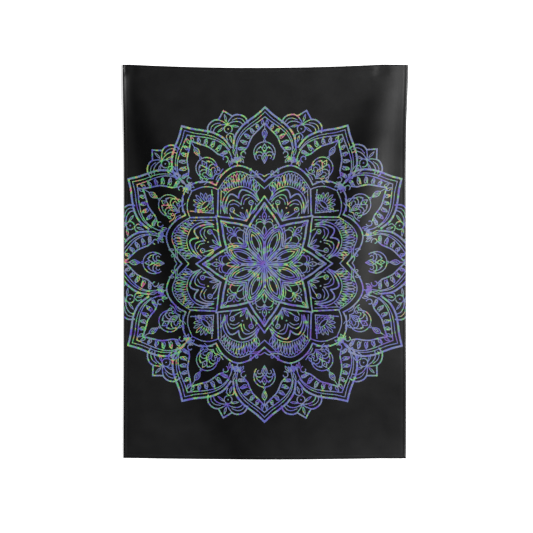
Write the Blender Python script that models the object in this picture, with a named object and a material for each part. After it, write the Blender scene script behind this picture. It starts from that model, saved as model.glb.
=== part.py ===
# Printed wall tapestry, held by two hook-and-loop pads hidden behind its top hem.
# The wall is the plane y = 0, the printed side faces -Y, and the origin lies on the wall,
# level with the pads' middles and behind the middle of the cloth. Distances along the flat
# cloth are u (from its middle, rightwards) and v (from its top edge, downwards).
import math
from bisect import bisect_right

import bmesh
import bpy
from mathutils import Vector

# Cloth, finished size with its hems folded back
CLOTH_WIDTH = 0.660
CLOTH_HEIGHT = 0.914
CLOTH_THICKNESS = 0.0006
HEM_WIDTH = 0.0095
HEM_THICKNESS = 0.0004

# Lockstitch rows: a needle thread on the front and a bobbin thread on the back
STITCH_MARGIN = 0.0020        # from a hem's inner edge to the middle of its stitch row
THREAD_WIDTH = 0.0008
THREAD_THICKNESS = 0.00025

# Hanging pads: foam adhesive on the wall, then a hook pad, then a loop pad on the hem
PAD_WIDTH = 0.013
PAD_HEIGHT = 0.013
PAD_CORNER = 0.003
PAD_CORNER_SEGMENTS = 3
PAD_DROP = 0.009              # from the cloth's top edge to the pads' middle
LEFT_PAD_INSET = 0.0145       # from the cloth's left edge to the left pad's middle
RIGHT_PAD_INSET = 0.060
ADHESIVE_THICKNESS = 0.0008
HOOK_THICKNESS = 0.0012
LOOP_THICKNESS = 0.0012

GAP = 0.0003                  # left between pieces that touch

# Drape, as distances of the cloth's back face from the wall
WALL_GAP = 0.0040             # away from the pads
PAD_FADE = 0.110              # how far down the pads hold the cloth forward
PAD_LAND = 0.001              # flat cloth left around each pad
PAD_BLEND = 0.014             # how far the flat spot takes to fade into the drape

# Left fold, a step that starts beside the left pad and leans down to the right
FOLD_TOP_RISE = 0.0010
FOLD_RISE = 0.0190
FOLD_LOSS = 0.0125            # how much of the rise is lost again by the bottom
FOLD_START = 0.009            # from the left pad to the step's middle at the top
FOLD_DRIFT = 0.262            # how far it moves rightwards by the bottom
FOLD_BEND = 0.09              # share of the height above which it hangs straight down
FOLD_BOW = 0.020              # how far it bows leftwards, most of all at 0.6 of the height
FOLD_SPREADS = (0.009, 0.030, 0.051)    # half length of the slope: top, 0.3 and 0.9 down

# Right ridge, with a soft back on its left and a steeper front on its right
RIDGE_RISE = 0.0125
RIDGE_LOSS = 0.70             # share of the rise that is lost again by the bottom
RIDGE_START = 0.044           # from the right edge to the crest at the top
RIDGE_DRIFT = 0.190           # how far the crest moves inwards by the bottom
FRONT_TOP_DROP = 0.0044       # beyond the crest the cloth drops back towards the wall
FRONT_DROP = 0.0066
LOSS_START = 0.72             # share of the height below which fold and ridge flatten

# Free left edge, curling forward below its pad
CURL_RISE = 0.0026
CURL_LENGTH = 0.120

# In the plane of the wall
TOP_SAG = 0.0076              # dip of the top edge between the pads
BOTTOM_SAG = 0.0030
END_DROP = 0.35               # slope of the sag beyond the pads, as a share of the dip
NARROWING = 0.004             # hanging draws the cloth in a little, and lengthens it
LENGTHENING = 0.002
TOP_STRETCH = 0.011           # the held top edge is pulled wider
TOP_SHIFT = 0.002             # and to the right
STRETCH_FADE = 0.110
GRID_STEP = 0.036             # spacing of the cloth's grid lines

LEFT_PAD = -CLOTH_WIDTH / 2 + LEFT_PAD_INSET
RIGHT_PAD = CLOTH_WIDTH / 2 - RIGHT_PAD_INSET
PAD_MIDDLE = (LEFT_PAD + RIGHT_PAD) / 2
STITCH_INSET = HEM_WIDTH - STITCH_MARGIN
PAD_STACK = ADHESIVE_THICKNESS + HOOK_THICKNESS + LOOP_THICKNESS + 2 * GAP
PAD_CLOTH_DEPTH = PAD_STACK + THREAD_THICKNESS + HEM_THICKNESS + 3 * GAP

INK_BLACK = (0.012, 0.012, 0.013)
THREAD_BLACK = (0.020, 0.020, 0.022)
HOOK_GREY = (0.62, 0.62, 0.60)
LOOP_WHITE = (0.80, 0.80, 0.78)
FOAM_WHITE = (0.88, 0.88, 0.86)


def ease(share):
    share = min(1.0, max(0.0, share))
    return share * share * (3 - 2 * share)


def soft_step(value):
    return 0.5 * (1 + math.tanh(value))


def fading(distance, length):
    return math.exp(-(distance / length) ** 2)


def left_fold(u, fall):
    """The fold's height, and how far right of the foot of its slope u lies."""
    past_bend = fall - FOLD_BEND
    leaning = 0.5 * (past_bend + math.hypot(past_bend, 0.05))
    middle = LEFT_PAD + FOLD_START + FOLD_DRIFT * leaning - FOLD_BOW * fading(fall - 0.6, 0.22)
    top_spread, full_spread, bottom_spread = FOLD_SPREADS
    spread = top_spread + (full_spread - top_spread) * ease(fall / 0.30)
    spread += (bottom_spread - full_spread) * ease((fall - 0.30) / 0.60)
    rise = FOLD_TOP_RISE + (FOLD_RISE - FOLD_TOP_RISE) * ease((fall - 0.03) / 0.27)
    rise -= FOLD_LOSS * ease((fall - LOSS_START) / (1 - LOSS_START))
    return rise * soft_step((u - middle) / spread), u - (middle - spread)


def right_ridge(u, fall):
    """The ridge's height, less the drop beyond its crest."""
    crest = CLOTH_WIDTH / 2 - RIDGE_START - RIDGE_DRIFT * fall
    back = crest - 0.020 - 0.060 * fall - 0.120 * max(0.0, fall - 0.6)
    rise = RIDGE_RISE * ease(fall / 0.35)
    rise *= 1 - RIDGE_LOSS * ease((fall - LOSS_START) / (1 - LOSS_START))
    height = rise * soft_step((u - back) / (0.018 + 0.045 * fall))
    front = crest + 0.025 + 0.052 * fall
    drop = FRONT_TOP_DROP + (FRONT_DROP - FRONT_TOP_DROP) * ease(fall / 0.15)
    drop *= 1 - ease((fall - 0.2) / 0.85)
    return height - drop * soft_step((u - front) / 0.030)


def free_depth(u, v):
    """Distance from the wall to the cloth's back face, away from the pads."""
    fall = v / CLOTH_HEIGHT
    fold_height, from_foot = left_fold(u, fall)
    outside = max(0.0, from_foot / (from_foot - u - CLOTH_WIDTH / 2 - 0.001))
    curl = CURL_RISE * outside ** 1.3 * fading(v, CURL_LENGTH)
    near_pads = (PAD_CLOTH_DEPTH - WALL_GAP) * fading(v, PAD_FADE)
    return WALL_GAP + near_pads + fold_height + right_ridge(u, fall) + curl


def pad_hold(u, v):
    """1 on the flat cloth in front of a pad, fading to 0 away from it."""
    side = min(abs(u - LEFT_PAD), abs(u - RIGHT_PAD)) - PAD_WIDTH / 2 - PAD_LAND
    below = v - PAD_DROP - PAD_HEIGHT / 2 - PAD_LAND
    return 1 - ease(max(side, below) / PAD_BLEND)


def cloth_depth(u, v):
    hold = pad_hold(u, v)
    return free_depth(u, v) * (1 - hold) + PAD_CLOTH_DEPTH * hold


def cloth_drop(u, v):
    """How far below the pads' middle a point of the cloth hangs."""
    beyond = abs(u - PAD_MIDDLE) / ((RIGHT_PAD - LEFT_PAD) / 2)
    across = 1 - beyond ** 2 if beyond < 1 else END_DROP * (beyond - 1)
    sag = TOP_SAG + (BOTTOM_SAG - TOP_SAG) * v / CLOTH_HEIGHT
    return v * (1 + LENGTHENING) - PAD_DROP + sag * across


def grid_lines(low, high, fixed):
    """Fixed lines, with even ones filled in wherever they stand further than a step apart."""
    lines = []
    marks = sorted(set([low, high] + [mark for mark in fixed if low < mark < high]))
    for start, end in zip(marks, marks[1:]):
        count = max(1, math.ceil((end - start) / GRID_STEP))
        lines += [start + (end - start) * i / count for i in range(count)]
    return lines + [high]


def cloth_lines():
    half = CLOTH_WIDTH / 2
    land = PAD_WIDTH / 2 + PAD_LAND
    across = [-half + HEM_WIDTH, half - HEM_WIDTH]
    for pad in (LEFT_PAD, RIGHT_PAD):
        for reach in (land, land + PAD_BLEND / 2, land + PAD_BLEND):
            across += [pad - reach, pad + reach]
    land_end = PAD_DROP + PAD_HEIGHT / 2 + PAD_LAND
    down = [HEM_WIDTH, land_end, land_end + PAD_BLEND / 2, land_end + PAD_BLEND,
            CLOTH_HEIGHT - HEM_WIDTH]
    return grid_lines(-half, half, across), grid_lines(0.0, CLOTH_HEIGHT, down)


def cloth_lattice(us, vs):
    """Rows of points on the cloth's back face. Each row keeps its length across the folds."""
    rows = []
    for v in vs:
        depths = [cloth_depth(u, v) for u in us]
        xs = [0.0]
        for i in range(1, len(us)):
            run = us[i] - us[i - 1]
            rise = depths[i] - depths[i - 1]
            xs.append(xs[-1] + math.sqrt(run * run - rise * rise))
        held = fading(v, STRETCH_FADE)
        width = 1 - NARROWING + TOP_STRETCH * held
        middle = xs[-1] / 2
        rows.append([Vector(((x - middle) * width + TOP_SHIFT * held, -depth, -cloth_drop(u, v)))
                     for x, depth, u in zip(xs, depths, us)])
    return rows


def cell(lines, value):
    index = min(max(bisect_right(lines, value) - 1, 0), len(lines) - 2)
    return index, (value - lines[index]) / (lines[index + 1] - lines[index])


def cloth_point(u, v):
    """A point of the faceted back face, so that every layer follows the same facets."""
    i, across = cell(U_LINES, u)
    j, down = cell(V_LINES, v)
    upper = LATTICE[j][i].lerp(LATTICE[j][i + 1], across)
    lower = LATTICE[j + 1][i].lerp(LATTICE[j + 1][i + 1], across)
    return upper.lerp(lower, down)


def new_object(name, bm, material):
    bmesh.ops.recalc_face_normals(bm, faces=bm.faces)
    mesh = bpy.data.meshes.new(name)
    bm.to_mesh(mesh)
    bm.free()
    mesh.materials.append(material)
    obj = bpy.data.objects.new(name, mesh)
    bpy.context.collection.objects.link(obj)
    return obj


def new_material(name, colour, roughness):
    material = bpy.data.materials.new(name)
    material.use_nodes = True
    shader = material.node_tree.nodes["Principled BSDF"]
    shader.inputs["Base Color"].default_value = (*colour, 1.0)
    shader.inputs["Roughness"].default_value = roughness
    shader.inputs["Metallic"].default_value = 0.0
    return material


def layer(name, us, vs, front, thickness, material):
    """A slab that follows the cloth. front is its front face's distance behind the back face."""
    bm = bmesh.new()
    columns = len(us) - 1
    rows = len(vs) - 1
    bmesh.ops.create_grid(bm, x_segments=columns, y_segments=rows, size=0.5)
    for vert in bm.verts:
        u = us[round((vert.co.x + 0.5) * columns)]
        v = vs[round((0.5 - vert.co.y) * rows)]
        vert.co = cloth_point(u, v) + Vector((0.0, front, 0.0))
    # Every layer splits its cells along the same diagonal, so that their facets stay parallel
    bmesh.ops.triangulate(bm, faces=bm.faces[:], quad_method="FIXED")
    back = bmesh.ops.extrude_face_region(bm, geom=bm.faces[:], use_keep_orig=True)
    moved = [item for item in back["geom"] if isinstance(item, bmesh.types.BMVert)]
    bmesh.ops.translate(bm, verts=moved, vec=(0.0, thickness, 0.0))
    return new_object(name, bm, material)


def between(lines, low, high):
    return [low] + [line for line in lines if low < line < high] + [high]


def pad(name, x, rear, thickness, material):
    """A round-cornered pad whose rear face stands `rear` off the wall."""
    bm = bmesh.new()
    bmesh.ops.create_cube(bm, size=1.0)
    bmesh.ops.scale(bm, verts=bm.verts, vec=(PAD_WIDTH, thickness, PAD_HEIGHT))
    bmesh.ops.translate(bm, verts=bm.verts, vec=(x, -rear - thickness / 2, 0.0))
    corners = [edge for edge in bm.edges
               if abs(edge.verts[0].co.y - edge.verts[1].co.y) > thickness / 2]
    bmesh.ops.bevel(bm, geom=corners, offset=PAD_CORNER, segments=PAD_CORNER_SEGMENTS,
                    profile=0.5, affect="EDGES", material=-1)
    return new_object(name, bm, material)


def add_cloth(printed):
    layer("cloth_panel", U_LINES, V_LINES, -CLOTH_THICKNESS, CLOTH_THICKNESS, printed)
    half = CLOTH_WIDTH / 2
    top_end = HEM_WIDTH
    bottom_start = CLOTH_HEIGHT - HEM_WIDTH
    across = between(U_LINES, -half, half)
    # The side hems end a gap short of the top and bottom hems, which run the full width
    down = between(V_LINES, top_end + GAP, bottom_start - GAP)
    hems = {"hem_top": (across, between(V_LINES, 0.0, top_end)),
            "hem_bottom": (across, between(V_LINES, bottom_start, CLOTH_HEIGHT)),
            "hem_left": (between(U_LINES, -half, -half + HEM_WIDTH), down),
            "hem_right": (between(U_LINES, half - HEM_WIDTH, half), down)}
    for name, (us, vs) in hems.items():
        layer(name, us, vs, GAP, HEM_THICKNESS, printed)


def add_threads(thread):
    side = CLOTH_WIDTH / 2 - STITCH_INSET
    low = STITCH_INSET
    high = CLOTH_HEIGHT - STITCH_INSET
    # The side rows stop a gap short of the rows that cross the top and bottom
    edge = THREAD_WIDTH / 2
    clear = edge + GAP
    across = between(U_LINES, -side, side)
    down = between(V_LINES, low + clear, high - clear)
    rows = {"top": (across, between(V_LINES, low - edge, low + edge)),
            "bottom": (across, between(V_LINES, high - edge, high + edge)),
            "left": (between(U_LINES, -side - edge, -side + edge), down),
            "right": (between(U_LINES, side - edge, side + edge), down)}
    needle = -CLOTH_THICKNESS - GAP - THREAD_THICKNESS
    bobbin = 2 * GAP + HEM_THICKNESS
    for name, (us, vs) in rows.items():
        layer("needle_thread_" + name, us, vs, needle, THREAD_THICKNESS, thread)
        layer("bobbin_thread_" + name, us, vs, bobbin, THREAD_THICKNESS, thread)


def add_pads(adhesive, hook, loop):
    for side, x in (("left", LEFT_PAD), ("right", RIGHT_PAD)):
        pad_x = cloth_point(x, PAD_DROP).x
        rear = 0.0
        pad("adhesive_" + side, pad_x, rear, ADHESIVE_THICKNESS, adhesive)
        rear += ADHESIVE_THICKNESS + GAP
        pad("hook_pad_" + side, pad_x, rear, HOOK_THICKNESS, hook)
        rear += HOOK_THICKNESS + GAP
        pad("loop_pad_" + side, pad_x, rear, LOOP_THICKNESS, loop)


for old in list(bpy.data.objects):
    bpy.data.objects.remove(old, do_unlink=True)

U_LINES, V_LINES = cloth_lines()
LATTICE = cloth_lattice(U_LINES, V_LINES)
add_cloth(new_material("printed_cloth", INK_BLACK, 0.55))
add_threads(new_material("sewing_thread", THREAD_BLACK, 0.60))
add_pads(new_material("foam_adhesive", FOAM_WHITE, 0.80),
         new_material("hook_tape", HOOK_GREY, 0.50),
         new_material("loop_tape", LOOP_WHITE, 0.90))
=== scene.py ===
import math

import bmesh
import bpy
import numpy as np
from mathutils import Matrix, Vector
from mathutils.geometry import delaunay_2d_cdt


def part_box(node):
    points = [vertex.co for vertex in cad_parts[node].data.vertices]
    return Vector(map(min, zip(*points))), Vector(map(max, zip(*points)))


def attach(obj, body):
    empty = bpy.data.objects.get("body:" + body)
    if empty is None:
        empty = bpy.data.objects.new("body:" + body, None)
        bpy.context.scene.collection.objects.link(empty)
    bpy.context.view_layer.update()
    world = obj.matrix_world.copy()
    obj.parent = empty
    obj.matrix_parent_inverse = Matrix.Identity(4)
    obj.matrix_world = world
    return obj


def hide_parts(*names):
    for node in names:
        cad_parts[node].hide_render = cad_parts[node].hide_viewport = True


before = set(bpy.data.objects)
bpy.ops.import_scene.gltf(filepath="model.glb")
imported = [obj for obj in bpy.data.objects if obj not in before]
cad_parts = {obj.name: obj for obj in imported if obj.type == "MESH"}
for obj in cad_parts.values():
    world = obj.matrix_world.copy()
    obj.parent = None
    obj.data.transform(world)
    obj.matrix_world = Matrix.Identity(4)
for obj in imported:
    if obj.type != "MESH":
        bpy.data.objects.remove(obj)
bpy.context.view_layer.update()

# A printed polyester tapestry on a white wall. The wall is y = 0, the print faces -Y.
# Places on the flat cloth are u, rightwards from its middle, and v, down from its top edge.

mm = 0.001
sides = ("top", "bottom", "left", "right")


# The cloth and how it hangs
cloth = {
    "width": 660 * mm,
    "height": 914 * mm,
    "thickness": 0.6 * mm,
    "hemWidth": 9.5 * mm,
    "hemThickness": 0.4 * mm,
    "layerGap": 0.3 * mm,
    "stitchInset": 7.5 * mm,      # from the folded edge to the stitch row
    "topLevel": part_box("cloth_panel")[1].z,
}

drape = {
    "wallGap": 4.0 * mm,          # from the wall to the cloth's back, away from the pads
    "padDepth": 5.35 * mm,        # at the pads, with the thread and hem behind the cloth
    "padFade": 110 * mm,          # how far down the pads hold the cloth forward
    "leftPad": -315.5 * mm,
    "rightPad": 270 * mm,
    "padDrop": 9 * mm,            # from the top edge to the pads' middle
    "padHalf": 7.5 * mm,          # flat cloth in front of each pad, to each side
    "padBelow": 7.5 * mm,         # and below its middle
    "padBlend": 14 * mm,
    "foldRise": (1.0 * mm, 19.0 * mm, 12.5 * mm),    # left fold: top, full, lost at the bottom
    "foldStart": 9 * mm,          # its slope's middle at the top, from the left pad
    "foldDrift": 262 * mm,        # how far it runs rightwards by the bottom
    "foldBow": 20 * mm,           # and how far it bows leftwards on the way
    "foldSpread": (9 * mm, 30 * mm, 51 * mm),      # half length of its slope: top, 0.3, 0.9 down
    "ridgeRise": 12.5 * mm,       # soft ridge down the right side
    "ridgeLoss": 0.7,             # share of its rise that is lost by the bottom
    "ridgeStart": 44 * mm,        # its crest at the top, from the right edge
    "ridgeDrift": 190 * mm,       # how far the crest runs inwards
    "ridgeBack": (20 * mm, 60 * mm, 120 * mm),     # its back slope, left of the crest, and its
    "backSpread": (18 * mm, 45 * mm),              # half length: at the top, more further down
    "ridgeFront": (25 * mm, 52 * mm),              # its front slope, right of the crest
    "frontSpread": 30 * mm,
    "ridgeFall": (4.4 * mm, 6.6 * mm),             # beyond the crest: top, full
    "flatten": 0.72,              # share of the height below which fold and ridge flatten
    "curlRise": 2.6 * mm,         # forward curl of the free left edge at the top
    "curlLength": 120 * mm,
    "curlPower": 1.3,
    "topSag": 7.6 * mm,
    "bottomSag": 3.0 * mm,
    "endDrop": 0.35,              # slope of the sag beyond the pads, as a share of the dip
    "narrowing": 0.004,           # hanging draws the cloth in a little, and lengthens it
    "lengthening": 0.002,
    "topStretch": 0.011,          # the held top edge is pulled wider
    "topShift": 2.0 * mm,         # and to the right
    "stretchFade": 110 * mm,
    "puckerDepth": 0.12 * mm,     # where the stitch rows pull the cloth in
    "puckerWidth": 2.2 * mm,
}


def ease(share):
    share = np.clip(share, 0.0, 1.0)
    return share * share * (3 - 2 * share)


def softStep(value):
    return 0.5 * (1 + np.tanh(value))


def fading(distance, length):
    return np.exp(-(distance / length) ** 2)


def flattened(fall):     # 0 down to where fold and ridge flatten, 1 at the bottom
    return ease((fall - drape["flatten"]) / (1 - drape["flatten"]))


def leftFold(u, fall):   # a step down to the right, and where the foot of its slope is
    d = drape
    past = fall - 0.09
    leaning = 0.5 * (past + np.hypot(past, 0.05))
    middle = d["leftPad"] + d["foldStart"] + d["foldDrift"] * leaning
    middle = middle - d["foldBow"] * fading(fall - 0.6, 0.22)
    top, upper, lower = d["foldSpread"]
    spread = top + (upper - top) * ease(fall / 0.30) + (lower - upper) * ease((fall - 0.30) / 0.60)
    top, full, lost = d["foldRise"]
    rise = top + (full - top) * ease((fall - 0.03) / 0.27) - lost * flattened(fall)
    return rise * softStep((u - middle) / spread), middle - spread


def rightRidge(u, fall):     # it leans inwards, with a soft back and a steeper front
    d = drape
    crest = cloth["width"] / 2 - d["ridgeStart"] - d["ridgeDrift"] * fall
    top, more, foot = d["ridgeBack"]
    back = crest - top - more * fall - foot * np.maximum(0.0, fall - 0.6)
    top, more = d["backSpread"]
    rise = d["ridgeRise"] * ease(fall / 0.35) * (1 - d["ridgeLoss"] * flattened(fall))
    height = rise * softStep((u - back) / (top + more * fall))
    top, more = d["ridgeFront"]
    front = crest + top + more * fall
    top, full = d["ridgeFall"]
    loss = (top + (full - top) * ease(fall / 0.15)) * (1 - ease((fall - 0.2) / 0.85))
    return height - loss * softStep((u - front) / d["frontSpread"])


def clothDepth(u, v):    # from the wall to the cloth's back face
    d = drape
    fall = v / cloth["height"]
    fold, foot = leftFold(u, fall)
    depth = d["wallGap"] + (d["padDepth"] - d["wallGap"]) * fading(v, d["padFade"])
    depth = depth + fold + rightRidge(u, fall)
    # The free left edge curls forward
    outside = np.maximum(0.0, (foot - u) / (foot + cloth["width"] / 2 + 1 * mm))
    depth = depth + d["curlRise"] * outside ** d["curlPower"] * fading(v, d["curlLength"])
    toPad = np.minimum(abs(u - d["leftPad"]), abs(u - d["rightPad"])) - d["padHalf"]
    toPad = np.maximum(toPad, v - d["padDrop"] - d["padBelow"])
    hold = 1 - ease(toPad / d["padBlend"])
    return depth * (1 - hold) + d["padDepth"] * hold


def seamPucker(u, v):    # the cloth dips a little along each stitch row
    fromEdge = [u + cloth["width"] / 2, cloth["width"] / 2 - u, v, cloth["height"] - v]
    dip = 0.0
    for distance in fromEdge:
        dip = dip + fading(distance - cloth["stitchInset"], drape["puckerWidth"])
    return drape["puckerDepth"] * np.minimum(dip, 1.0)


def clothDrop(u, v):     # height below the top edge's highest level
    d = drape
    middle = (d["leftPad"] + d["rightPad"]) / 2
    halfSpan = (d["rightPad"] - d["leftPad"]) / 2
    beyond = abs(u - middle) / halfSpan
    across = np.where(beyond < 1, 1 - beyond ** 2, d["endDrop"] * (beyond - 1))
    sag = d["topSag"] + (d["bottomSag"] - d["topSag"]) * v / cloth["height"]
    return v * (1 + d["lengthening"]) + sag * across


class Hanging:           # the hung cloth as a fine table of points, read between its entries
    def __init__(self, columns, rows):
        self.us = np.linspace(-cloth["width"] / 2, cloth["width"] / 2, columns)
        self.vs = np.linspace(0.0, cloth["height"], rows)
        u, v = np.meshgrid(self.us, self.vs)
        depth = clothDepth(u, v)
        run = np.diff(u, axis=1)
        along = np.sqrt(run ** 2 - np.diff(depth, axis=1) ** 2)
        x = np.concatenate([np.zeros((rows, 1)), np.cumsum(along, axis=1)], axis=1)
        x += self.us[0] + (cloth["width"] - x[:, -1:]) / 2    # each row keeps its middle
        held = fading(v, drape["stretchFade"])
        x *= 1 - drape["narrowing"] + drape["topStretch"] * held
        x += drape["topShift"] * held
        z = cloth["topLevel"] - clothDrop(u, v)
        self.points = np.stack([x, -depth, z], axis=-1)
        across = np.gradient(self.points, axis=1)
        down = np.gradient(self.points, axis=0)
        normal = np.cross(down, across)
        self.normals = normal / np.linalg.norm(normal, axis=-1, keepdims=True)

    def read(self, table, u, v):
        i = (u - self.us[0]) / (self.us[1] - self.us[0])
        j = (v - self.vs[0]) / (self.vs[1] - self.vs[0])
        i0 = np.clip(np.floor(i).astype(int), 0, len(self.us) - 2)
        j0 = np.clip(np.floor(j).astype(int), 0, len(self.vs) - 2)
        s = (i - i0)[:, None]
        t = (j - j0)[:, None]
        upper = table[j0, i0] * (1 - s) + table[j0, i0 + 1] * s
        lower = table[j0 + 1, i0] * (1 - s) + table[j0 + 1, i0 + 1] * s
        return upper * (1 - t) + lower * t

    def place(self, u, v, out):    # out is the height above the cloth's back face
        u, v, out = (np.asarray(a, dtype=float) for a in (u, v, out))
        normal = self.read(self.normals, u, v)
        return self.read(self.points, u, v) + normal * (out - seamPucker(u, v))[:, None]


# The printed pattern, laid out in millimetres
pattern = {
    "middleDrop": 459.0,     # from the top edge of the cloth to the pattern's middle
    "reach": 480.0,          # half side of the square that the eight wedges fill
    "filling": 12.0,         # spacing of the plain cloth's points
}

bold, main, fine, hair = 4.4, 3.3, 2.3, 1.8      # line widths

strokes = []                 # each is a line of points and its half width


def addStroke(points, width):
    strokes.append((np.array(points), width / 2))


def polar(radius, degrees):
    angle = math.radians(degrees)
    return np.array((radius * math.cos(angle), radius * math.sin(angle)))


def smoothThrough(points, step):
    points = [np.asarray(p, dtype=float) for p in points]
    if len(points) == 2:         # short enough pieces to follow the folds
        count = math.ceil(np.linalg.norm(points[1] - points[0]) / 11)
        return [points[0] + (points[1] - points[0]) * k / count for k in range(count + 1)]
    ends = [2 * points[0] - points[1]] + points + [2 * points[-1] - points[-2]]
    out = []
    for a, b, c, d in zip(ends, ends[1:], ends[2:], ends[3:]):
        count = max(2, round(np.linalg.norm(c - b) / step))
        for k in range(count):
            t = k / count
            out.append(0.5 * (2 * b + (c - a) * t + (2 * a - 5 * b + 4 * c - d) * t ** 2
                              + (3 * b - a - 3 * c + d) * t ** 3))
    return out + [points[-1]]


def drawLine(points, width, step=6.0):
    addStroke(smoothThrough(points, step), width)


def drawArc(centre, radius, start, end, width, shrink=1.0):
    count = max(4, math.ceil(abs(math.radians(end - start)) * radius / 3.2))
    count = min(count, 14)
    points = []
    for k in range(count + 1):
        share = k / count
        size = radius * (1 + (shrink - 1) * share)
        points.append(np.asarray(centre) + polar(size, start + (end - start) * share))
    addStroke(points, width)


def drawRing(centre, radius, width):
    for start in (0, 180):
        drawArc(centre, radius, start, start + 180, width)


def drawDot(centre, radius):
    drawRing(centre, radius / 2, radius)


def drawLeaf(base, tip, halfWidth, width, belly=0.5, steps=6):
    base, tip = np.asarray(base), np.asarray(tip)
    along = tip - base
    across = np.array((-along[1], along[0])) / np.linalg.norm(along)
    power = math.log(0.5) / math.log(belly)
    for side in (1, -1):
        points = []
        for k in range(steps + 1):
            share = k / steps
            points.append(base + along * share
                          + across * side * halfWidth * math.sin(math.pi * share ** power))
        addStroke(points, width)


def drawAxialLeaf(axis, start, end, halfWidth, width, belly=0.5):
    drawLeaf(polar(start, axis), polar(end, axis), halfWidth, width, belly)


def drawMirrored(profile, axis, width, step=6.0):    # profile: radius and angle off the axis
    for side in (1, -1):
        drawLine([polar(radius, axis + side * off) for radius, off in profile], width, step)


def axisPoint(axis, along, across):
    angle = math.radians(axis)
    return np.array((along * math.cos(angle) - across * math.sin(angle),
                     along * math.sin(angle) + across * math.cos(angle)))


def alongCurve(points, share):
    points = np.array(points)
    lengths = np.concatenate([[0], np.cumsum(np.linalg.norm(np.diff(points, axis=0), axis=1))])
    return np.array([np.interp(share * lengths[-1], lengths, points[:, k]) for k in (0, 1)])


def drawFlower(axis):        # one petal of the middle flower, with its half of each gap
    drawMirrored([(95, 0), (91, 4.2), (80, 10.9), (68, 16.8), (60, 22.0)], axis, main)
    drawMirrored([(89, 0), (84, 4.2), (74, 10.0), (63, 15.6), (53, 19.8), (36, 20.0), (20, 17.5)],
                 axis, fine)
    drawMirrored([(85, 0), (74, 6.2), (62, 9.8), (49, 12.8), (37, 12.6), (24, 8), (12, 0)],
                 axis, fine, 5.0)
    drawMirrored([(76, 0), (68, 4.0), (58, 6.6), (48, 7.8), (40, 6.2), (33, 0)], axis, fine, 5.0)
    drawAxialLeaf(axis, 9, 41, 3.6, fine, 0.6)
    drawLine([polar(3, axis), polar(14, axis)], fine)


def drawGapSpear(axis):      # between two petals of the middle flower
    drawAxialLeaf(axis, 6, 54, 2.6, fine, 0.55)
    drawLine([polar(2, axis), polar(40, axis)], hair)


def drawStarTip(axis):
    drawMirrored([(159, 0), (146, 3.8), (131, 10.3), (120, 16.3), (110, 22.5)], axis, main)
    drawMirrored([(143, 0), (128, 4.6), (116, 10.3), (104, 16.6), (95, 22.5)], axis, bold)
    drawAxialLeaf(axis, 66, 90, 4.2, fine)
    drawDot(polar(96, axis), 3.4)
    drawMirrored([(96, 0), (100, 5), (98, 10.5), (90, 13.5)], axis, fine, 5.0)
    drawMirrored([(90, 13.5), (84, 9), (77, 5.5), (70, 3)], axis, hair, 5.0)
    drawMirrored([(99, 0), (106, 5), (106, 9), (101, 11)], axis, hair, 5.0)
    for side in (1, -1):
        drawLeaf(polar(85, axis + 14 * side), polar(97, axis + 16.5 * side), 2.6, hair)
        drawLeaf(polar(74, axis + 10 * side), polar(83, axis + 15 * side), 2.2, hair)
        drawDot(polar(112, axis + 5.5 * side), 1.8)
    drawAxialLeaf(axis, 101, 123, 5.0, fine, 0.52)
    drawDot(polar(112, axis), 1.9)
    drawAxialLeaf(axis, 124, 136, 2.0, hair)


bandOuter = [(193, 0), (208, 4.4), (225, 8.8), (237, 14.0), (238.5, 18.4), (234, 23), (226, 27.6),
             (216, 31.5)]
bandInner = [(176.5, 0), (191.5, 4.8), (209, 9), (223, 14.4), (225, 18.5), (221, 22.8),
             (212.5, 27.4), (204, 31.8)]
boxOuter = [(216, 31.5), (231, 34.3), (245, 38.8), (254.5, 45)]
boxInner = [(204, 31.8), (217, 34.4), (230, 38.8), (239.5, 45)]
arch = [(150, 16.6), (162, 15.2), (174, 12.6), (184, 8.6), (190, 3.8), (190.5, 0)]
bracketOuter = [(152, 15.6), (165, 12.4), (176, 8.2), (181.5, 4.6), (176, 2.0), (166, 0)]
bracketInner = [(147, 14.9), (158, 12.2), (166.5, 8.2), (167, 4.8), (158, 1.7), (149, 0)]


def polarLine(profile, width, step=7.0):
    drawLine([polar(radius, degrees) for radius, degrees in profile], width, step)


def drawLobes():             # two black bands with bright edges, and the box on the diagonal
    for profile in (bandOuter, boxOuter):
        polarLine(profile, main)
    for profile in (bandInner, boxInner):
        polarLine(profile, fine)
    mirrored = [(radius, 90 - degrees) for radius, degrees in boxInner + boxOuter]
    polarLine(mirrored[:4], fine)
    polarLine(mirrored[4:], main)
    # The black bar down each side of the box, to the star's tip
    for side in (1, -1):
        drawLine([polar(204, 45 - 13.2 * side), polar(158, 45 - 1.2 * side)], main)
        drawLine([polar(212, 45 - 9.6 * side), polar(168, 45)], fine)
        drawLine([polar(199, 45 - 14.6 * side), polar(156, 45 - 4.0 * side)], hair)


lobeAxis = 21.4


def drawFan():               # rounded loops that fan out between the arch and the band
    angles = [row[1] for row in arch][::-1]
    radii = [row[0] for row in arch][::-1]
    bandAngles = [row[1] for row in bandInner]
    bandRadii = [row[0] for row in bandInner]
    count = 15
    for k in range(count):
        share = (k + 0.5) / count
        outAngle = 3.2 + 27.2 * share
        inAngle = 5.6 + 24.6 * share
        inside = float(np.interp(abs(inAngle - lobeAxis), angles, radii)) + 3.6
        outside = float(np.interp(outAngle, bandAngles, bandRadii)) - 3.4
        length = outside - inside
        halfWidth = min(3.5, 0.2 * length + 0.8)
        drawLeaf(polar(inside, inAngle), polar(outside, outAngle), halfWidth, hair, 0.68)
        if k % 2:
            drawLine([polar(inside + 0.25 * length, inAngle * 0.75 + outAngle * 0.25),
                      polar(outside - 0.3 * length, outAngle)], hair)


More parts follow.
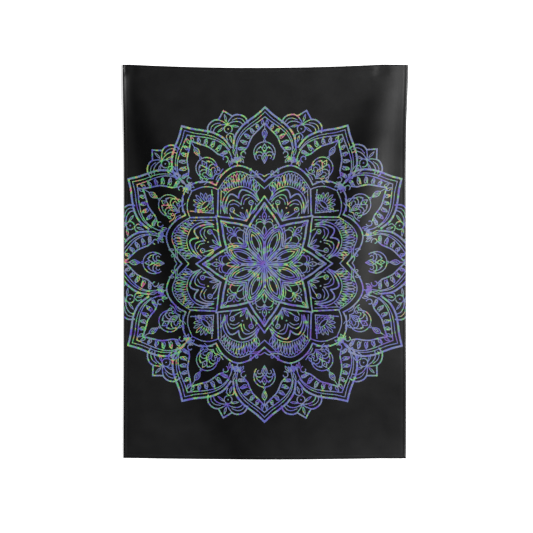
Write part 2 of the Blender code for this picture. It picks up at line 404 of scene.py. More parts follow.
def drawHeart():             # arch, double bracket, rings and sprigs inside a lobe
    drawMirrored(arch, lobeAxis, fine)
    drawMirrored(bracketOuter, lobeAxis, main, 5.0)
    drawMirrored(bracketInner, lobeAxis, fine, 5.0)
    for profile, width in (
            ([(160, 8.6), (157, 4.6), (148, 2.2)], hair),
            ([(141, 9.4), (131, 7.4), (120, 3.6), (113, 0.8)], fine),
            ([(144, 13.0), (132, 13.6), (122, 8.6)], hair)):
        drawMirrored(profile, lobeAxis, width, 5.0)
    for side in (1, -1):
        centre = polar(147.5, lobeAxis + 9.2 * side)
        drawRing(centre, 5.0, fine)
        drawDot(centre, 1.6)
        drawLeaf(polar(117, lobeAxis + 1.0 * side), polar(134, lobeAxis + 3.6 * side), 2.2, hair)
        drawLeaf(polar(159, lobeAxis + 15.2 * side), polar(180, lobeAxis + 13.4 * side), 2.0, hair)
    drawDot(polar(141, lobeAxis), 1.8)


def drawSunBox():            # dark eye with rays inside the box on the diagonal
    axis = 45
    centre = axisPoint(axis, 195, 0)
    for side in (1, -1):
        points = []
        for k in range(9):
            angle = math.radians(180 * k / 8)
            points.append(centre + axisPoint(axis, side * 5.4 * math.sin(angle),
                                             12.0 * math.cos(angle)))
        addStroke(points, fine)
    for k in range(9):
        angle = math.radians(-92 + 23 * k)
        start = centre + axisPoint(axis, 8.6 * math.cos(angle), 13.6 * math.sin(angle))
        reach = 31 - 6.0 * abs(math.sin(angle)) ** 1.5
        end = centre + axisPoint(axis, reach * math.cos(angle), reach * math.sin(angle))
        drawLeaf(start, end, 2.9, hair, 0.64)
    for side in (1, -1):
        for k in range(5):
            middle = axisPoint(axis, 175 + 6.0 * k, side * (3.6 + 5.6 * k))
            drawArc(middle, 3.3, axis + side * 135 - 270 * side + 45 * side,
                    axis + side * 135 - 90 * side + 45 * side, hair)
        for k in range(3):
            drawDot(axisPoint(axis, 184 + 4.5 * k, side * (3.0 + 6.0 * k)), 1.2)


petalOuter = [(370, 0), (353, 3.0), (339, 6.6), (326, 9.9), (307, 13.1), (283, 15.0)]
petalEdge = [(359, 0), (343, 2.8), (331, 6.0), (318, 9.2), (300, 12.2), (278, 14.1)]
petalSecond = [(347, 0), (334, 3.0), (323.5, 6.0), (309, 9.7), (291, 12.5), (270, 13.9),
               (250, 13.8)]
petalThird = [(331, 0), (316, 2.6), (302, 5.4), (287, 7.2), (278, 8.2), (270, 10.2)]


def drawBigPetal(axis, tip):

    def stretched(profile):      # the tip is moved, the base stays
        base = 262
        share = (tip - base) / (petalOuter[0][0] - base)
        return [(base + (r - base) * (share if r > base else 1), a) for r, a in profile]

    for profile, width in ((petalOuter, bold), (petalEdge, hair), (petalSecond, fine),
                           (petalThird, main)):
        drawMirrored(stretched(profile), axis, width)
    for side in (1, -1):
        outer = smoothThrough([polar(r, axis + a * side)
                               for r, a in stretched(petalSecond[:6])], 5.0)
        inner = smoothThrough([polar(r, axis + a * side) for r, a in stretched(petalThird)], 5.0)
        count = 11
        for k in range(count):       # leaves leaning to and fro between the two lines
            share = 0.10 + 0.86 * k / (count - 1)
            lean = 0.06 if k % 2 else -0.045
            start = alongCurve(inner, share)
            end = alongCurve(outer, min(1.0, share + lean))
            start, end = start + (end - start) * 0.17, end + (start - end) * 0.15
            length = np.linalg.norm(end - start)
            drawLeaf(start, end, min(2.9, 0.17 * length + 0.7), hair, 0.66 if k % 2 else 0.4, 5)
            if k % 2 == 0 and k > 0:
                between = alongCurve(outer, share - 0.045)
                drawDot(between + (start - between) * 0.24, 1.5)
            elif length > 12:
                drawDot(start + (end - start) * 0.55, 0.9)
        # Scroll that ends the third line, with a ring and three leaves beside it
        drawArc(polar(262, axis + 10.6 * side), 8.2, axis + side * 190, axis + side * -80,
                fine, 0.5)
        drawRing(polar(276, axis + 12.2 * side), 3.2, hair)
        for k in range(3):
            lean = (11.6 + 1.5 * k) * side
            drawLeaf(polar(242 + 3 * k, axis + lean), polar(255 + 2 * k, axis + lean * 1.08),
                     2.3, hair)
    # Arches and a three-leaf sprig in the black middle
    drawArc(polar(261, axis), 25.0, axis - 118, axis + 118, fine)
    drawArc(polar(258, axis), 19.5, axis - 100, axis - 28, hair)
    drawArc(polar(258, axis), 19.5, axis + 28, axis + 100, hair)
    for side in (1, -1):
        drawArc(axisPoint(axis, 252, 12.5 * side), 10.5, axis - 75 * side, axis + 140 * side, fine)
        drawArc(axisPoint(axis, 250, 12.5 * side), 5.6, axis - 60 * side, axis + 160 * side,
                hair, 0.6)
        drawLine([axisPoint(axis, 259, 0), axisPoint(axis, 269, 4.5 * side),
                  axisPoint(axis, 274, 9.5 * side), axisPoint(axis, 270, 13 * side)],
                 fine, 5.0)
    drawAxialLeaf(axis, 236, 261, 6.2, fine, 0.55)
    drawAxialLeaf(axis, 241, 254, 2.2, hair, 0.55)
    drawAxialLeaf(axis, 264, 281, 4.9, fine, 0.4)
    drawDot(polar(272, axis), 1.6)
    drawRing(polar(288, axis), 2.4, hair)
    drawAxialLeaf(axis, 293, 317, 5.6, fine, 0.55)
    drawAxialLeaf(axis, 298, 311, 1.9, hair, 0.55)
    drawLine([polar(318, axis), polar(329, axis)], hair)


def drawPetalBase(axis, inner, spread):    # collar over the lobes, where a big petal starts
    drawMirrored([(inner, 0), (inner + 6, 0.26 * spread), (inner + 4, 0.62 * spread),
                  (inner + 10, spread)], axis, fine, 4.0)
    drawMirrored([(inner - 6, 0.16 * spread), (inner, 0.45 * spread), (inner, 0.8 * spread)],
                 axis, hair, 4.0)
    for side in (1, -1):
        drawRing(polar(inner + 11, axis + 0.42 * spread * side), 3.0, hair)
        drawLeaf(polar(inner + 9, axis + 0.74 * spread * side),
                 polar(inner + 21, axis + 0.7 * spread * side), 2.3, hair)


def drawSmallPetal(axis):        # a kite on two shoulders, with a knot and a loop below
    drawMirrored([(371, 0), (354, 2.7)], axis, main)
    drawMirrored([(354, 2.7), (356, 4.2), (352.5, 6.2), (345, 7.6), (333, 8.3)], axis, main, 4.0)
    drawMirrored([(354, 2.7), (346, 1.1), (338, 0)], axis, fine, 4.0)
    drawMirrored([(345, 2.4), (347, 4.4), (343, 6.2), (335, 7.0)], axis, hair, 4.0)
    drawMirrored([(338, 0), (341, 2.6), (338, 5.0), (329, 6.4)], axis, fine, 4.0)
    drawArc(polar(327, axis), 9.4, axis - 152, axis + 152, fine)
    drawDot(polar(338, axis), 3.0)
    drawAxialLeaf(axis, 344, 362, 2.0, hair)
    drawDot(polar(327, axis), 1.7)
    for side in (1, -1):
        drawLeaf(polar(333, axis + 1.4 * side), polar(327, axis + 4.4 * side), 1.9, hair)
    drawMirrored([(317, 0), (311, 1.6), (302, 1.4)], axis, fine, 4.0)
    drawAxialLeaf(axis, 295, 311, 2.0, hair)


def drawStem(axis):          # small ornaments between two big petals
    drawAxialLeaf(axis, 261, 281, 2.4, hair)
    drawRing(polar(255, axis), 3.6, fine)
    drawLine([polar(240, axis), polar(251, axis)], fine)
    for side in (1, -1):
        drawLeaf(polar(246, axis + 0.4 * side), polar(258, axis + 2.4 * side), 1.8, hair)


def drawPattern():           # what touches the wedge between 0 and 45 degrees
    for axis in (22.5, 67.5, -22.5):
        drawFlower(axis)
    for axis in (0, 45):
        drawGapSpear(axis)
        drawStarTip(axis)
    drawLobes()
    drawFan()
    drawHeart()
    drawSunBox()
    for axis, tip in ((0, 367), (31.1, 374), (58.9, 374)):
        drawBigPetal(axis, tip)
    for axis in (15.1, 45):
        drawSmallPetal(axis)
        drawStem(axis)
    for axis, inner, spread in ((0, 205, 11.5), (31.1, 232, 7.5), (58.9, 232, 7.5)):
        drawPetalBase(axis, inner, spread)


def ribbonEdges(line, half):     # the outline of a stroke
    ahead = np.diff(line, axis=0)
    ahead /= np.linalg.norm(ahead, axis=1, keepdims=True)
    normals = np.stack([-ahead[:, 1], ahead[:, 0]], axis=1)
    joints = np.concatenate([normals[:1], normals[:-1] + normals[1:], normals[-1:]])
    joints /= np.linalg.norm(joints, axis=1, keepdims=True)
    cosine = np.ones(len(line))
    cosine[1:-1] = np.maximum(0.6, np.sum(joints[1:-1] * normals[1:], axis=1))
    offset = joints * (half / cosine)[:, None]
    return np.concatenate([line + offset, (line - offset)[::-1]])


def extended(line, half):        # a little longer, so that lines meeting at a tip close it
    line = line.copy()
    first = line[0] - line[1]
    last = line[-1] - line[-2]
    line[0] += first / np.linalg.norm(first) * half * 0.8
    line[-1] += last / np.linalg.norm(last) * half * 0.8
    return line


def inkedFaces(centres, lines):  # true where a point lies on a stroke
    starts = np.concatenate([line[:-1] for line, half in lines])
    spans = np.concatenate([np.diff(line, axis=0) for line, half in lines])
    halves = np.concatenate([np.full(len(line) - 1, half) for line, half in lines])
    low = np.full(len(starts), -np.inf)      # only a stroke's two ends are cut off
    high = np.full(len(starts), np.inf)
    at = 0
    for line, half in lines:
        low[at] = 0.0
        high[at + len(line) - 2] = 1.0
        at += len(line) - 1
    squares = np.sum(spans ** 2, axis=1)
    inked = np.zeros(len(centres), dtype=bool)
    batch = 500
    for at in range(0, len(centres), batch):
        to = centres[at:at + batch, None] - starts[None]
        share = np.sum(to * spans[None], axis=2) / squares[None]
        within = (share > low[None]) & (share < high[None])
        share = np.clip(share, 0, 1)
        gap = np.linalg.norm(to - spans[None] * share[..., None], axis=2)
        inked[at:at + batch] = np.any(within & (gap < halves[None] * 1.03), axis=1)
    return inked


def triangulateWedge():
    reach = pattern["reach"]
    spacing = pattern["filling"]
    lines = [(extended(line, half), half) for line, half in strokes]
    near = [(line, half) for line, half in lines
            if np.any((line[:, 1] > -8) & (line[:, 1] < line[:, 0] + 12))]
    points = [(0, 0), (reach, 0), (reach, reach)]
    edges = [(0, 1), (1, 2), (2, 0)]
    for line, half in near:
        outline = ribbonEdges(line, half)
        first = len(points)
        points += [tuple(p) for p in outline]
        edges += [(first + k, first + (k + 1) % len(outline)) for k in range(len(outline))]
    count = round(reach / spacing)
    for i in range(1, count):
        for j in range(0, i + 1):
            points.append((i * spacing, j * spacing))
    points = [Vector(p) for p in points]
    verts, _, faces, _, _, _ = delaunay_2d_cdt(points, edges, [], 0, 1e-3)
    places = np.array([tuple(v) for v in verts])
    faces = np.array(faces)
    centres = places[faces].mean(axis=1)
    inside = (centres[:, 1] > 0) & (centres[:, 1] < centres[:, 0])
    faces = faces[inside]
    return places, faces, inkedFaces(centres[inside], near)


def whole(bm):
    return bm.verts[:] + bm.edges[:] + bm.faces[:]


def addPrintedPlane(bm, ink):    # the flat cloth with the print's outlines cut into it
    places, faces, inked = triangulateWedge()
    used = np.unique(faces)
    made = {k: bm.verts.new((places[k][0] * mm, places[k][1] * mm, 0)) for k in used}
    for corners, mark in zip(faces, inked):
        face = bm.faces.new([made[k] for k in corners])
        face[ink] = float(mark)
    join = 0.004 * mm
    turn = Matrix.Rotation(math.radians(-45), 3, "Z")
    bmesh.ops.rotate(bm, verts=bm.verts, matrix=turn)
    bmesh.ops.mirror(bm, geom=whole(bm), axis="Y", merge_dist=join)
    bmesh.ops.rotate(bm, verts=bm.verts, matrix=turn.inverted())
    for axis in "XY":
        bmesh.ops.mirror(bm, geom=whole(bm), axis=axis, merge_dist=join)
    middle = pattern["middleDrop"] * mm
    for where, outwards in (((-cloth["width"] / 2, 0, 0), (-1, 0, 0)),
                            ((cloth["width"] / 2, 0, 0), (1, 0, 0)),
                            ((0, middle, 0), (0, 1, 0)),
                            ((0, middle - cloth["height"], 0), (0, -1, 0))):
        bmesh.ops.bisect_plane(bm, geom=whole(bm), dist=1e-6,
                               plane_co=where, plane_no=outwards, clear_outer=True)
    bmesh.ops.translate(bm, verts=bm.verts, vec=(0, -middle, 0))    # y is now -v


def linear(hexColour):           # sRGB hex to linear
    channels = [int(hexColour[k:k + 2], 16) / 255 for k in (1, 3, 5)]
    return (*(c / 12.92 if c <= 0.04045 else ((c + 0.055) / 1.055) ** 2.4 for c in channels), 1)


def addNode(tree, kind, settings=None, inputs=None):
    node = tree.nodes.new("ShaderNode" + kind)
    for name, value in (settings or {}).items():
        setattr(node, name, value)
    for name, value in (inputs or {}).items():
        if isinstance(value, bpy.types.NodeSocket):
            tree.links.new(value, node.inputs[name])
        else:
            node.inputs[name].default_value = value
    return node


def calculate(tree, operation, *values, kind="Math"):
    node = addNode(tree, kind, {"operation": operation}, dict(enumerate(values)))
    return node.outputs["Value" if kind == "Math" or operation == "DOT_PRODUCT" else "Vector"]


def remap(tree, value, source, target):
    return addNode(tree, "MapRange", inputs={
        "Value": value, "From Min": source[0], "From Max": source[1],
        "To Min": target[0], "To Max": target[1]}).outputs[0]


def addFlatNoise(tree, metres, size, detail, distortion=0.0):
    return addNode(tree, "TexNoise", {"noise_dimensions": "2D"},
                   {"Vector": metres, "Scale": 1 / size, "Detail": detail,
                    "Distortion": distortion}).outputs[0]


def newMaterial(name):
    material = bpy.data.materials.new(name)
    material.use_nodes = True
    tree = material.node_tree
    return material, tree, tree.nodes["Principled BSDF"]


def newObject(name, bm, material):
    mesh = bpy.data.meshes.new(name)
    bm.to_mesh(mesh)
    bm.free()
    mesh.materials.append(material)
    made = bpy.data.objects.new(name, mesh)
    bpy.context.collection.objects.link(made)
    return made


def finishPiece(name, bm, material, nodes):
    piece = newObject(name, bm, material)
    piece.data.shade_smooth()
    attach(piece, "root")
    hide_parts(*nodes)
    return piece


def cutFaces(bm, faces, cuts):   # through each place, across each direction
    edges = {edge for face in faces for edge in face.edges}
    verts = {vert for face in faces for vert in face.verts}
    geometry = list(verts) + list(edges) + list(faces)
    for where, across in cuts:
        geometry = bmesh.ops.bisect_plane(bm, geom=geometry, dist=1e-6, plane_co=where,
                                          plane_no=across)["geom"]


def cutAlongEdges(bm):           # finer rows of faces beside the cloth's edges, for its seams
    width, height = cloth["width"], cloth["height"]
    rim = max(edgeRows) + 6 * mm
    near = []
    for face in bm.faces:
        place = face.calc_center_median()
        if (width / 2 - abs(place.x) < rim) or (-place.y < rim) or (height + place.y < rim):
            near.append(face)
    cuts = []
    for inset in edgeRows:
        cuts += [((inset - width / 2, 0, 0), (1, 0, 0)), ((width / 2 - inset, 0, 0), (1, 0, 0)),
                 ((0, -inset, 0), (0, 1, 0)), ((0, inset - height, 0), (0, 1, 0))]
    cutFaces(bm, near, cuts)


def addBack(bm, side):           # walls down from the rim, and a plain grid of faces behind
    rim = [edge for edge in bm.edges if edge.is_boundary]
    walls = bmesh.ops.extrude_edge_only(bm, edges=rim)
    lower = [item for item in walls["geom"] if isinstance(item, bmesh.types.BMVert)]
    bmesh.ops.translate(bm, verts=lower, vec=(0, 0, -cloth["thickness"]))
    loop = [item for item in walls["geom"] if isinstance(item, bmesh.types.BMEdge)
            and all(vert.co.z < -0.5 * cloth["thickness"] for vert in item.verts)]
    face = bmesh.ops.contextual_create(bm, geom=loop)["faces"][0]
    face[side] = 1.0
    face.smooth = True
    half = cloth["width"] / 2
    down = [cloth["height"] * k / 60 for k in range(1, 60)]
    across = [cloth["width"] * k / 44 - half for k in range(1, 44)]
    for inset in edgeRows[1::2]:      # finer near the edges, as the front is
        down.append(inset)
        across += [inset - half, half - inset]
    cutFaces(bm, [face], [((0, -v, 0), (0, 1, 0)) for v in down]
             + [((u, 0, 0), (1, 0, 0)) for u in across])


def hangUp(bm, hanging, u, v, out):    # lays the map, then moves the flat piece into the drape
    flatMap = bm.loops.layers.uv["ClothPlace"]
    bm.verts.index_update()
    for face in bm.faces:
        for loop in face.loops:
            at = loop.vert.index
            loop[flatMap].uv = (u[at] / cloth["width"] + 0.5, 1 - v[at] / cloth["height"])
    for vert, place in zip(bm.verts, hanging.place(u, v, out)):
        vert.co = place


edgeRows = [inset * mm for inset in (2.5, 5.0, 6.3, 7.1, 7.9, 8.7, 10.0, 13.0, 18.0, 25.0)]


def makePanel(hanging, material):
    bm = bmesh.new()
    bm.loops.layers.uv.new("ClothPlace")
    side = bm.faces.layers.float.new("back")
    ink = bm.faces.layers.float.new("ink")
    addPrintedPlane(bm, ink)
    cutAlongEdges(bm)
    print("flat print", len(bm.faces), "faces")
    addBack(bm, side)
    flat = np.array([vert.co for vert in bm.verts])
    u = np.clip(flat[:, 0], -cloth["width"] / 2, cloth["width"] / 2)
    v = np.clip(-flat[:, 1], 0, cloth["height"])
    out = np.where(flat[:, 2] < -0.5 * cloth["thickness"], 0.0, cloth["thickness"])
    hangUp(bm, hanging, u, v, out)
    bmesh.ops.triangulate(bm, faces=bm.faces)
    bmesh.ops.recalc_face_normals(bm, faces=bm.faces)
    panel = finishPiece("tapestryPanel", bm, material, ["cloth_panel"])
    print("panel", len(panel.data.polygons), "faces")
    return panel


hemFold = {
    "bend": 0.50 * mm,           # how far the folded edge stands past the panel's own edge
    "bendSteps": 6,
    "clear": 0.06 * mm,          # left between the panel's edge and the hem around it
    "easing": 1.0 * mm,          # where the hem's flat part starts, from the edge
    "rawEdge": 0.12 * mm,        # rounding of the hem's inner edge
    "step": 6.0 * mm,
}


def hemProfile():    # around the fold, as inset from the edge and height above the cloth's back
    front = cloth["thickness"]
    near = -cloth["layerGap"]
    far = near - cloth["hemThickness"]
    edge = hemFold["rawEdge"]
    inner = cloth["hemWidth"]
    clear = -hemFold["clear"]
    flat = hemFold["easing"]
    points = [(inner - edge, near), (inner / 2, near), (flat, near), (clear, near),
              (clear, front * 0.95)]
    middle = (front + far) / 2
    half = (front - far) / 2
    for k in range(hemFold["bendSteps"] + 1):
        angle = math.pi * k / hemFold["bendSteps"]
        points.append((clear - hemFold["bend"] * math.sin(angle), middle + half * math.cos(angle)))
    return points + [(flat, far), (inner / 2, far), (inner - edge, far), (inner, far + edge),
                     (inner, near - edge)]


def edgePlace(side, along, inset):    # along runs left to right, or from the top down
    width, height = cloth["width"], cloth["height"]
    if side == "top":
        return along, inset
    if side == "bottom":
        return along, height - inset
    if side == "left":
        return -width / 2 + inset, along
    return width / 2 - inset, along


def hemReach(side):
    if side in ("top", "bottom"):
        reach = cloth["width"] / 2 + hemFold["bend"]
        return -reach, reach
    short = cloth["hemWidth"] + cloth["layerGap"]
    return short, cloth["height"] - short


def makeHem(side, hanging, material):
    profile = hemProfile()
    start, end = hemReach(side)
    count = round((end - start) / hemFold["step"])
    around = len(profile)
    bm = bmesh.new()
    bm.loops.layers.uv.new("ClothPlace")
    bmesh.ops.create_grid(bm, x_segments=count, y_segments=around, size=0.5)
    places = []
    for vert in bm.verts:
        along = start + (end - start) * (vert.co.x + 0.5)
        inset, out = profile[round((vert.co.y + 0.5) * around) % around]
        places.append((*edgePlace(side, along, inset), out))
    hangUp(bm, hanging, *np.array(places).T)
    bmesh.ops.remove_doubles(bm, verts=bm.verts, dist=0.01 * mm)
    bmesh.ops.holes_fill(bm, edges=bm.edges, sides=0)
    bmesh.ops.recalc_face_normals(bm, faces=bm.faces)
    name = "foldedHem" + side.capitalize()
    return finishPiece(name, bm, material, ["hem_" + side])


stitching = {
    "pitch": 3.0 * mm,
    "length": 2.5 * mm,
    "thickness": 0.38 * mm,
    "sink": 0.10 * mm,           # how far a stitch beds into the cloth
    "wander": 0.12 * mm,
    "around": 6,
    "rings": 4,
    "seed": 20,
}


def makeStitches(side, face, hanging, material):
    s = stitching
    inset = cloth["stitchInset"]
    if face == "needle":
        level = cloth["thickness"] + s["thickness"] / 2 - s["sink"]
    else:
        level = -cloth["layerGap"] - cloth["hemThickness"] - s["thickness"] / 2 + s["sink"]
    if side in ("top", "bottom"):
        end = cloth["width"] / 2 - inset
        start = -end
    else:
        start = inset + s["pitch"]
        end = cloth["height"] - start
    count = round((end - start) / s["pitch"])
    draw = np.random.default_rng(stitching["seed"] + sides.index(side) + 4 * (face == "bobbin"))
    pitch = (end - start) / count
    bm = bmesh.new()
    bmesh.ops.create_uvsphere(bm, u_segments=s["around"], v_segments=s["rings"], radius=0.5)
    bmesh.ops.rotate(bm, verts=bm.verts, matrix=Matrix.Rotation(math.radians(90), 3, "Y"))
    bmesh.ops.scale(bm, verts=bm.verts, vec=(s["length"], s["thickness"], s["thickness"]))
    each = len(bm.verts)
    bmesh.ops.spin(bm, geom=whole(bm), cent=(0, 0, 0),
                   axis=(0, 0, 1), dvec=(pitch, 0, 0), angle=0, steps=count - 1,
                   use_duplicate=True)
    shift = draw.uniform(-1, 1, count).repeat(each) * s["wander"]
    tilt = np.radians(draw.uniform(2, 7, count)).repeat(each)
    middle = (np.arange(count) * pitch).repeat(each)
    flat = np.array([vert.co for vert in bm.verts])
    along = start + pitch / 2 + middle + flat[:, 0] - middle
    across = inset + shift + flat[:, 1] + (flat[:, 0] - middle) * tilt
    u, v = edgePlace(side, along, across)
    for vert, place in zip(bm.verts, hanging.place(u, v, flat[:, 2] + level)):
        vert.co = place
    bmesh.ops.recalc_face_normals(bm, faces=bm.faces)
    name = face + "Stitches" + side.capitalize()
    return finishPiece(name, bm, material, [face + "_thread_" + side])


clothFinish = {
    "weavePitch": 0.9 * mm,      # drawn coarser than the real 0.35 mm, to be seen up close
    "weaveHeight": 0.02 * mm,
    "weaveStrength": 0.4,
    "mottle": 45 * mm,           # size of the soft patches in the black
    "blacks": ("#030304", "#060607"),
    "roughness": (0.345, 0.375),
    "rubWidth": 1.8 * mm,        # the folded edges are rubbed grey over this width
    "rubPatch": 14 * mm,
    "rubbed": "#2b2b30",
    "sheen": 0.05,
    "backs": ("#a6a7ad", "#c2c3c8"),
}


def makeEdgeRub(tree, place, metres):    # 1 on a rubbed part of the cloth's outer edges
    f = clothFinish
    size = (cloth["width"], cloth["height"], 1)
    centred = calculate(tree, "SUBTRACT", place, (0.5, 0.5, 0), kind="VectorMath")
    off = calculate(tree, "ABSOLUTE", centred, kind="VectorMath")
    inset = calculate(tree, "MULTIPLY_ADD", off, [-length for length in size],
                      [length / 2 for length in size], kind="VectorMath")
    split = addNode(tree, "SeparateXYZ", inputs={0: inset})
    nearest = calculate(tree, "MINIMUM", split.outputs[0], split.outputs[1])
    fade = remap(tree, nearest, (0, f["rubWidth"]), (1, 0))
    patches = addFlatNoise(tree, metres, f["rubPatch"], 3.0)
    return calculate(tree, "MULTIPLY", fade, remap(tree, patches, (0.45, 0.7), (0, 0.8)))


def makeWeave(tree, metres):     # warp and weft crossing, from -1 to 1
    turn = 2 * math.pi / clothFinish["weavePitch"]
    phase = calculate(tree, "MULTIPLY", metres, (turn, turn, 0), kind="VectorMath")
    waves = calculate(tree, "SINE", phase, kind="VectorMath")
    split = addNode(tree, "SeparateXYZ", inputs={0: waves})
    return calculate(tree, "MULTIPLY", split.outputs[0], split.outputs[1])


def mixColours(tree, share, first, second):
    return addNode(tree, "Mix", {"data_type": "RGBA"},
                   {"Factor": share, 6: first, 7: second}).outputs[2]


def makePrintedPolyester():
    # Satin polyester with a dye print: deep black with a soft grey sheen, and a shifting
    # violet, blue and green foil colour in the lines. The unprinted back is milky white,
    # and the folded edges are rubbed slightly grey.
    f = clothFinish
    material, tree, shader = newMaterial("dyePrintedSatinPolyester")
    place = addNode(tree, "UVMap", {"uv_map": "ClothPlace"}).outputs["UV"]
    metres = calculate(tree, "MULTIPLY", place, (cloth["width"], cloth["height"], 1),
                       kind="VectorMath")
    ink = addNode(tree, "Attribute", {"attribute_name": "ink"}).outputs["Fac"]
    back = addNode(tree, "Attribute", {"attribute_name": "back"}).outputs["Fac"]
    mottle = addFlatNoise(tree, metres, f["mottle"], 3.0)
    weave = makeWeave(tree, metres)
    black = mixColours(tree, mottle, *(linear(colour) for colour in f["blacks"]))
    front = mixColours(tree, ink, black, makeFoilColour(tree, place, metres))
    front = mixColours(tree, makeEdgeRub(tree, place, metres), front, linear(f["rubbed"]))
    milky = mixColours(tree, mottle, *(linear(colour) for colour in f["backs"]))
    tree.links.new(mixColours(tree, back, front, milky), shader.inputs["Base Color"])
    tree.links.new(remap(tree, mottle, (0.3, 0.7), f["roughness"]), shader.inputs["Roughness"])
    bump = addNode(tree, "Bump", inputs={"Height": weave, "Distance": f["weaveHeight"],
                                         "Strength": f["weaveStrength"]}).outputs[0]
    tree.links.new(bump, shader.inputs["Normal"])
    shader.inputs["Sheen Weight"].default_value = f["sheen"]
    return material


foil = {
    "patch": 24 * mm,            # size of the colour patches
    "streak": 6 * mm,            # finer streaks inside them
    "grain": 3.2 * mm,           # spots that are greyer than the rest
    "patchShare": 1.45,          # how far patches and streaks move the colour
    "streakShare": 0.42,
    "greySpot": "#88858e",
    "shift": (-0.12, 0.18),      # how the colours drift across and up the cloth
    "level": -0.45,              # brings the middle of the cloth to the middle of the stops
    "greying": 0.60,             # most, at the right edge
    "stops": [(0.16, "#7048b4"), (0.27, "#5a54c2"), (0.36, "#6166be"), (0.44, "#6684bc"),
              (0.50, "#8083b0"), (0.55, "#8e86a0"), (0.60, "#6c90a6"), (0.65, "#54a488"),
              (0.70, "#58c676"), (0.76, "#90ce70"), (0.81, "#c4b870"), (0.87, "#ce8270"),
              (0.93, "#c06498")],
}


def makeFoilColour(tree, place, metres):
    f = foil
    patches = addFlatNoise(tree, metres, f["patch"], 2.0, 1.2)
    streaks = addFlatNoise(tree, metres, f["streak"], 2.0, 0.6)
    grain = addFlatNoise(tree, metres, f["grain"], 1.0)
    drift = calculate(tree, "DOT_PRODUCT", place, (*f["shift"], 0), kind="VectorMath")
    finer = calculate(tree, "MULTIPLY_ADD", streaks, f["streakShare"], f["level"])
    wide = calculate(tree, "MULTIPLY_ADD", patches, f["patchShare"], finer)
    ramp = addNode(tree, "ValToRGB", inputs={0: calculate(tree, "ADD", wide, drift)})
    elements = ramp.color_ramp.elements
    while len(elements) < len(f["stops"]):
        elements.new(0.5)
    for element, (position, colour) in zip(elements, f["stops"]):
        element.position = position
        element.color = linear(colour)
    across = addNode(tree, "SeparateXYZ", inputs={0: place}).outputs[0]
    grey = calculate(tree, "MULTIPLY", across, remap(tree, grain, (0.35, 0.65), (0, f["greying"])))
    return mixColours(tree, grey, ramp.outputs[0], linear(f["greySpot"]))


threadFinish = {
    "fuzz": 0.4 * mm,
    "colours": ("#121213", "#2c2c30"),
    "twist": 0.05 * mm,
    "roughness": 0.55,
    "sheen": 0.2,
}


def addTexture(tree, shader, colours, height, depth, strength=1.0):   # colour and bump alike
    shade = addNode(tree, "ValToRGB", inputs={0: height})
    for element, colour in zip(shade.color_ramp.elements, colours):
        element.color = linear(colour)
    tree.links.new(shade.outputs[0], shader.inputs["Base Color"])
    bump = addNode(tree, "Bump", inputs={"Height": height, "Distance": depth,
                                         "Strength": strength})
    tree.links.new(bump.outputs[0], shader.inputs["Normal"])


def makeThread():
    # Spun polyester sewing thread: black, slightly glossy, with a fine twist
    f = threadFinish
    material, tree, shader = newMaterial("spunPolyesterThread")
    where = addNode(tree, "TexCoord").outputs["Object"]
    fuzz = addNode(tree, "TexNoise", inputs={"Vector": where, "Scale": 1 / f["fuzz"]}).outputs[0]
    addTexture(tree, shader, f["colours"], fuzz, f["twist"], 0.6)
    shader.inputs["Roughness"].default_value = f["roughness"]
    shader.inputs["Sheen Weight"].default_value = f["sheen"]
    return material


padFinishes = {    # two colours, grain size, bump depth and roughness
    "adhesive": ("closedCellFoam", "#d9d9d4", "#f1f1ec", 0.5 * mm, 0.10 * mm, 0.85),
    "hook_pad": ("mouldedNylonHooks", "#8d8d8a", "#c4c4c0", 0.7 * mm, 0.30 * mm, 0.45),
    "loop_pad": ("brushedNylonLoops", "#c9c9c4", "#efefea", 0.35 * mm, 0.20 * mm, 0.95),
}


def finishPads():
    # Foam shows fine open cells on its cut sides, hook tape a regular field of pins, and
    # loop tape a soft tangle
    for node, (name, dark, light, grain, depth, roughness) in padFinishes.items():
        material, tree, shader = newMaterial(name)
        where = addNode(tree, "TexCoord").outputs["Object"]
        cells = addNode(tree, "TexVoronoi" if node == "hook_pad" else "TexNoise",
                        inputs={"Vector": where, "Scale": 1 / grain}).outputs[0]
        addTexture(tree, shader, (dark, light), cells, depth)
        shader.inputs["Roughness"].default_value = roughness
        for side in ("left", "right"):
            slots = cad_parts[node + "_" + side].material_slots
            slots[0].material = material


backdrops = {    # colour, glow, turn about X and place
    "wall": ("#f4f4f4", 0.72, 90, (0, 0, 0)),
    "floor": ("#ecebe8", 0.35, 0, (0, -3, -1.6)),
}
backdropReach = 3.0


def addBackdrop(name, colour, glow, turn, place):
    bm = bmesh.new()
    bmesh.ops.create_grid(bm, x_segments=1, y_segments=1, size=backdropReach)
    bmesh.ops.rotate(bm, verts=bm.verts, matrix=Matrix.Rotation(math.radians(turn), 3, "X"))
    bmesh.ops.translate(bm, verts=bm.verts, vec=place)
    material, tree, shader = newMaterial("matt" + name.capitalize())
    shader.inputs["Base Color"].default_value = linear(colour)
    shader.inputs["Roughness"].default_value = 0.9
    shader.inputs["Specular IOR Level"].default_value = 0.1
    shader.inputs["Emission Color"].default_value = (1, 1, 1, 1)
    shader.inputs["Emission Strength"].default_value = glow
    # From behind, a backdrop lets the cloth be seen
    behind = addNode(tree, "NewGeometry").outputs["Backfacing"]
    clear = addNode(tree, "BsdfTransparent").outputs[0]
    mixed = addNode(tree, "MixShader", inputs={0: behind, 1: shader.outputs[0], 2: clear})
    tree.links.new(mixed.outputs[0], tree.nodes["Material Output"].inputs["Surface"])
    backdrop = newObject(name, bm, material)
    return backdrop


def makeStage():
    made = {name: addBackdrop(name, *look) for name, look in backdrops.items()}
    # The floor is far below a real hanging, so it throws no light up onto the cloth
    made["floor"].visible_diffuse = False
    made["floor"].visible_glossy = False


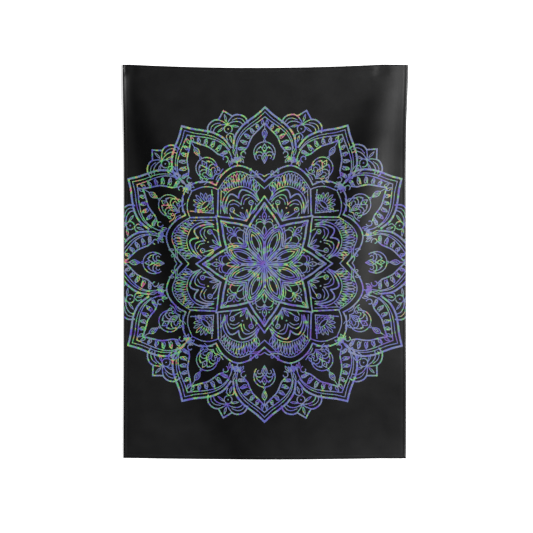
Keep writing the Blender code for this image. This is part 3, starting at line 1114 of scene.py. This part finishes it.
def addLight(name, place, aim, size, power):
    light = bpy.data.lights.new(name, "AREA")
    light.shape = "RECTANGLE"
    light.size, light.size_y = size
    light.energy = power
    lamp = bpy.data.objects.new(name, light)
    bpy.context.collection.objects.link(lamp)
    lamp.location = place
    lamp.rotation_euler = (Vector(aim) - Vector(place)).to_track_quat("-Z", "Y").to_euler()


lights = {    # place, aim, size and power
    "key": ((6.0, -8.2, 0.1), (0, 0, 0.1), (1.7, 4.0), 1350),
}


view = {
    "distance": 6.0,
    "frameHeight": 1.2428,       # what the view takes in at the wall
    "middle": 0.0043,
    "drop": 0.4700,              # from the cloth's top edge to the middle of the view
    "sensor": 36,
    "dim": 0.008,                # how much light the studio's air throws on the cloth
    "pale": 0.9,                 # and how pale it looks
}


def makeView():
    camera = bpy.data.cameras.new("camera")
    holder = bpy.data.objects.new("camera", camera)
    bpy.context.collection.objects.link(holder)
    camera.sensor_width = view["sensor"]
    camera.lens = view["sensor"] * view["distance"] / view["frameHeight"]
    holder.location = (view["middle"], -view["distance"], cloth["topLevel"] - view["drop"])
    holder.rotation_euler = (math.radians(90), 0, 0)
    bpy.context.scene.camera = holder
    bpy.context.scene.view_settings.view_transform = "Standard"
    world = bpy.data.worlds.new("studio")
    bpy.context.scene.world = world
    world.use_nodes = True
    tree = world.node_tree
    dim = tree.nodes["Background"]
    dim.inputs[0].default_value = (1, 1, 1, 1)
    dim.inputs[1].default_value = view["dim"]
    # The pale studio is seen behind the object, and only a little of it lights the cloth
    pale = addNode(tree, "Background", inputs={0: (1, 1, 1, 1), 1: view["pale"]}).outputs[0]
    seen = addNode(tree, "LightPath").outputs["Is Camera Ray"]
    mixed = addNode(tree, "MixShader", inputs={0: seen, 1: dim.outputs[0], 2: pale})
    tree.links.new(mixed.outputs[0], tree.nodes["World Output"].inputs["Surface"])
    for name, light in lights.items():
        addLight(name, *light)


drawPattern()
print("strokes", len(strokes), "points", sum(len(line) for line, half in strokes))
hanging = Hanging(661, 305)
printed = makePrintedPolyester()
panel = makePanel(hanging, printed)
hems = [makeHem(side, hanging, printed) for side in sides]
thread = makeThread()
stitches = [makeStitches(side, face, hanging, thread) for side in sides
            for face in ("needle", "bobbin")]
finishPads()
print("hems", len(hems), "stitch rows", len(stitches))
makeStage()
makeView()
